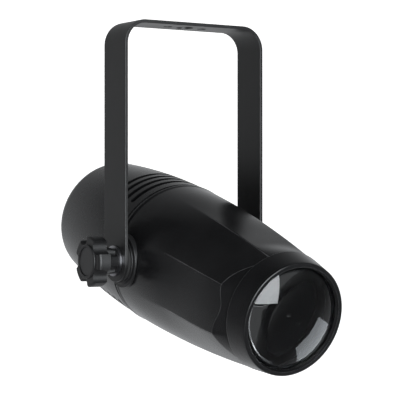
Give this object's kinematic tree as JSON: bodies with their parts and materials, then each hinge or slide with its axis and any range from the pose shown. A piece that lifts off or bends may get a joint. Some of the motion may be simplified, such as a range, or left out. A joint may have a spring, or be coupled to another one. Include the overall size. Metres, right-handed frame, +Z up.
{
  "type": "LED profile spotlight",
  "caption": "Compact theatre spotlight: barrel-shaped plastic lamp head with a convex front lens, tilting in a steel hanging yoke with clamp knobs.",
  "frame": {"origin": "centre of the hanging-bolt hole, in the top face of the yoke", "axes": "+Z up out of the yoke along the hanging bolt, +X along the tilt axis, -Y the way the lens looks"},
  "size_m": [0.1368, 0.2233, 0.2035],
  "materials": {
    "yoke_steel": "satin black powder coat",
    "housing_plastic": "satin black moulded plastic",
    "knob_plastic": "satin black moulded plastic",
    "knob_cap": "semi-gloss black",
    "boss_plastic": "satin black",
    "friction_rubber": "matt",
    "lens_glass": "clear polished",
    "inner_glass": "clear polished",
    "baffle_black": "matt black",
    "screw_steel": "zinc plated",
    "black_screw": "blackened",
    "brass": "turned brass",
    "sink_aluminium": "as extruded",
    "board_white": "white solder mask",
    "board_green": "green solder mask",
    "emitter": "yellow phosphor",
    "optic_clear": "clear moulded",
    "pad_grey": "matt",
    "ferrite": "sintered",
    "winding": "yellow tape",
    "can_black": "sleeved",
    "copper": "enamelled copper",
    "film_yellow": "gloss",
    "chip_black": "matt",
    "terminal_green": "moulded",
    "inlet_plastic": "moulded",
    "blade_metal": "nickel plated",
    "fuse_glass": "clear",
    "wire_brown": "insulation",
    "wire_blue": "insulation",
    "wire_earth": "insulation",
    "wire_red": "insulation",
    "wire_black": "insulation",
    "panel_plastic": "fine texture",
    "ring_plastic": "satin black"
  },
  "bodies": {
    "yoke": {"yoke": "yoke_steel"},
    "lamp_head": {"front_shell": "housing_plastic", "rear_shell": "housing_plastic", "shell_screws": "black_screw", "front_lens": "lens_glass", "lens_seal": "friction_rubber", "lens_retaining_ring": "ring_plastic", "front_baffle": "baffle_black", "inner_lens_holder": "ring_plastic", "inner_lens": "inner_glass", "inner_lens_clip": "screw_steel", "rear_baffle": "baffle_black", "collimator": "optic_clear", "collimator_holder": "baffle_black", "led_emitter": "emitter", "led_board": "board_white", "led_board_screws": "screw_steel", "thermal_pad": "pad_grey", "heat_sink": "sink_aluminium", "heat_sink_screws": "screw_steel", "driver_board": "board_green", "driver_screws": "screw_steel", "driver_transformer": "ferrite", "transformer_winding": "winding", "driver_capacitors": "can_black", "driver_choke": "copper", "film_capacitor": "film_yellow", "driver_chips": "chip_black", "mains_terminals": "terminal_green", "live_wire": "wire_brown", "neutral_wire": "wire_blue", "earth_wire": "wire_earth", "earth_lug": "blade_metal", "earth_screw": "screw_steel", "led_wire_positive": "wire_red", "led_wire_negative": "wire_black", "rear_panel": "panel_plastic", "rear_panel_screws": "black_screw", "inlet_body": "inlet_plastic", "inlet_pins": "blade_metal", "pivot_boss_left": "boss_plastic", "pivot_insert_left": "brass", "friction_disc_left": "friction_rubber", "pivot_boss_right": "boss_plastic", "pivot_insert_right": "brass", "friction_disc_right": "friction_rubber"},
    "fuse_drawer": {"fuse_drawer": "inlet_plastic", "fuse_glass": "fuse_glass", "fuse_caps": "blade_metal"},
    "left_washer": {"knob_washer_left": "screw_steel"},
    "left_knob": {"knob_left": "knob_plastic", "knob_cap_left": "knob_cap", "knob_stud_left": "black_screw"},
    "right_washer": {"knob_washer_right": "screw_steel"},
    "right_knob": {"knob_right": "knob_plastic", "knob_cap_right": "knob_cap", "knob_stud_right": "black_screw"}
  },
  "joints": [
    {"name": "head_tilt", "type": "hinge", "parent": "yoke", "child": "lamp_head", "pos_m": [0, 0, -0.1423], "axis": [1, 0, 0], "range_deg": [-104.9, 75.1]},
    {"name": "fuse_drawer_slide", "type": "slide", "parent": "lamp_head", "child": "fuse_drawer", "axis": [0, 0.9664, 0.2571], "range_m": [0, 0.022]},
    {"name": "left_knob_travel", "type": "slide", "parent": "lamp_head", "child": "left_washer", "axis": [-1, 0, 0], "range_m": [0, 0.003]},
    {"name": "left_knob_turn", "type": "hinge", "parent": "left_washer", "child": "left_knob", "pos_m": [-0.055, 0, -0.1423], "axis": [-1, 0, 0], "range_deg": [0, 1080]},
    {"name": "right_knob_travel", "type": "slide", "parent": "lamp_head", "child": "right_washer", "axis": [1, 0, 0], "range_m": [0, 0.003]},
    {"name": "right_knob_turn", "type": "hinge", "parent": "right_washer", "child": "right_knob", "pos_m": [0.055, 0, -0.1423], "axis": [1, 0, 0], "range_deg": [0, 1080]}
  ],
  "couplings": [
    {"joint": "left_knob_turn", "follows": "left_knob_travel", "rad_per_m": 6283.2},
    {"joint": "right_knob_turn", "follows": "right_knob_travel", "rad_per_m": 6283.2}
  ]
}
